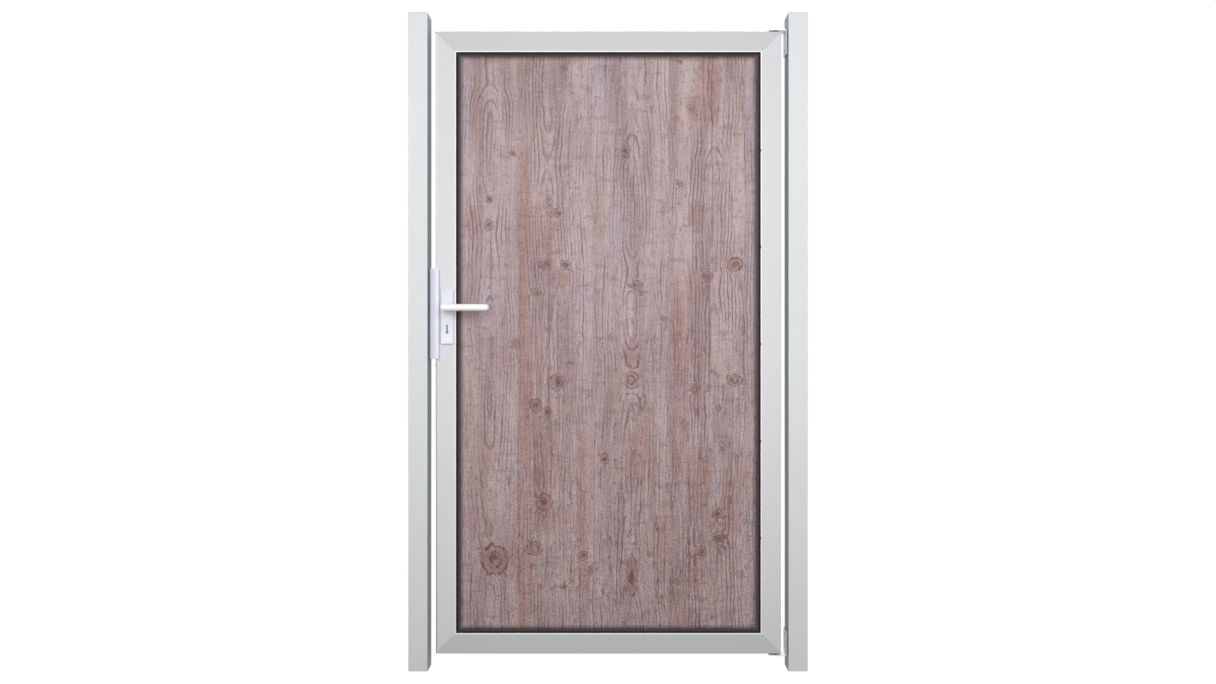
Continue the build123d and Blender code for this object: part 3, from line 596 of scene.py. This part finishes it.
# The gasket along the hinge stile is painted lighter: painted light on that side.
rubber_colour = rubber.tone(rubber.ramp(x, -0.1200, -0.1080, 0.0, 0.6), rubber_colour, rgb(104, 97, 99))
rubber_colour = rubber.tone(painted_shoulder_shade, rubber_colour, rgb(18, 16, 18))
rubber.show(rubber_colour, rubber.ramp(skin, 0.3, 0.7, 0.55, 0.70), skin, depth=0.0001, strength=0.4)
dress(rubber.material, "front_gasket", "back_gasket")

wedge_size = Matrix.Diagonal((0.0036, 0.0040, 0.0072, 1))
wedges = bmesh.new()
for up in (0.3798, 0.6596, 0.9401, 1.2216, 1.5010):
    stand = Matrix.Translation((-0.1054, -0.0112, up))
    bmesh.ops.create_cube(wedges, size=1, matrix=stand @ wedge_size)
new_piece("gasket_wedges", wedges, rubber.material, "leaf")

# Edge seal
# A soft grey rubber bulb along the lock edge of the leaf, full height, pressed into a rebate of
# the lock stile.
bulb = Finish("seal_rubber", roughness=0.6)
bloom = bulb.grain(500, stretch=(1, 1, 0.3), detail=3)
seal_colour = bulb.tone(bulb.ramp(bloom, 0.3, 0.7), rgb(216, 217, 222), rgb(226, 227, 232))
x, y, z = bulb.axes()
# The seal is painted darker towards its foot, painted shade, and is drawn dark at its top end.
seal_colour = bulb.tone(bulb.ramp(z, 0.30, 1.60, 0.85, 0.0), seal_colour, rgb(164, 165, 168))
seal_colour = bulb.tone(bulb.ramp(z, 1.8390, 1.8415), seal_colour, rgb(132, 134, 136))
bulb.show(seal_colour, height=bloom, depth=0.0001, strength=0.4)
dress(bulb.material, "edge_seal")

# Lock
# A steel case let into the lock stile behind a brushed faceplate, with a latch bolt and a dead
# bolt. Two screws hold the faceplate to the edge of the stile.
lock_steel = Finish("brushed_lock_steel", metallic=0.9)
strokes = lock_steel.grain(160, stretch=(12, 12, 0.5), detail=3)
lock_tone = lock_steel.tone(lock_steel.ramp(strokes, 0.3, 0.7), rgb(176, 178, 181), rgb(208, 209, 212))
lock_gloss = lock_steel.ramp(strokes, 0.3, 0.7, 0.24, 0.40)
lock_steel.show(lock_tone, lock_gloss, strokes, depth=0.00005, strength=0.4)
dress(lock_steel.material, "lock_case", "lock_faceplate", "latch_bolt", "dead_bolt", "spindle")

faceplate_screws = bmesh.new()
for up in (0.887, 1.103):
    screw_end(
        faceplate_screws, (-1.0483, 0.008, up), facing=(-1, 0, 0),
        foot_radius=0.0040, top_radius=0.0037, height=0.0005,
    )
new_piece("faceplate_screws", faceplate_screws, bright.material, "leaf")

# Lock plates
# Coated aluminium plates with a keyhole, one on each face of the lock stile. Two screws through
# the stile hold them together and show on the back only.
plate = Finish("lock_plate_coat", roughness=0.4)
grit = plate.grain(1000, detail=2)
plate_colour = plate.tone(plate.ramp(grit, 0.3, 0.7), rgb(229, 230, 246), rgb(235, 236, 251))
x, y, z = plate.axes()
# The upper part of the plate is painted greyer and darker: painted shade.
plate_colour = plate.tone(plate.ramp(z, 0.955, 1.000, 0.0, 0.8), plate_colour, rgb(214, 217, 227))
plate.show(plate_colour, plate.ramp(grit, 0.2, 0.8, 0.34, 0.46), grit, depth=0.00005, strength=0.35)
dress(plate.material, "front_lock_plate", "back_lock_plate")

plate_screws = bmesh.new()
for up in (0.955, 1.087):
    screw_end(
        plate_screws, (-1.0105, 0.0358, up), facing=(0, 1, 0),
        foot_radius=0.0044, top_radius=0.0038, height=0.0014,
    )
new_piece("plate_screws", plate_screws, bright.material, "leaf")

# Lever handles
# Round aluminium bar mitred at its corner, domed at its end and coated white, one on each face,
# on a square spindle.
white = Finish("lever_white_coat", roughness=0.34)
smooth = white.grain(900, detail=2)
lever_colour = white.tone(white.ramp(smooth, 0.3, 0.7), rgb(242, 242, 244), rgb(247, 247, 249))
white.show(lever_colour, white.ramp(smooth, 0.2, 0.8, 0.28, 0.38), smooth, depth=0.00004, strength=0.3)


def lever(name, plate_face, outward):
    """The bar grown ring by ring: neck, square corner over the spindle, grip, domed end."""
    spindle_x, level, bar_radius, neck_radius = -1.0105, 1.045, 0.010, 0.009
    grip_end, stand_off, sunk = -0.8845, 0.035, 0.006
    bar_y = plate_face + outward * stand_off
    dome_x = grip_end - bar_radius
    bar = bmesh.new()
    flat_to_face = Matrix.Translation((spindle_x, plate_face - outward * sunk, level))
    flat_to_face = flat_to_face @ Matrix.Rotation(radians(90), 4, "X")
    bmesh.ops.create_circle(bar, cap_ends=True, segments=48, radius=neck_radius, matrix=flat_to_face)
    ring = list(bar.edges)

    def grow():
        made = bmesh.ops.extrude_edge_only(bar, edges=ring)["geom"]
        ring[:] = [part for part in made if isinstance(part, bmesh.types.BMEdge)]
        return [part.co for part in made if isinstance(part, bmesh.types.BMVert)]

    for spot in grow():
        spot.y = plate_face + outward * 0.0005
    for spot in grow():
        spot.x = spindle_x + (spot.x - spindle_x) * bar_radius / neck_radius
        spot.z = level + (spot.z - level) * bar_radius / neck_radius
    for spot in grow():
        spot.y = bar_y + outward * (spindle_x - spot.x)
    for spot in grow():
        spot.x = dome_x
    width = 1.0
    for degrees in range(10, 90, 10):
        narrower = cos(radians(degrees))
        for spot in grow():
            spot.x = dome_x + bar_radius * sin(radians(degrees))
            spot.y = bar_y + (spot.y - bar_y) * narrower / width
            spot.z = level + (spot.z - level) * narrower / width
        width = narrower
    bmesh.ops.contextual_create(bar, geom=ring)
    bmesh.ops.recalc_face_normals(bar, faces=bar.faces)
    piece = new_piece(name, bar, white.material, "lever")
    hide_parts(name.replace("_grip", "_lever"))


front_plate_face, back_plate_face = -0.020, 0.036
lever("front_grip", front_plate_face, -1)
lever("back_grip", back_plate_face, 1)
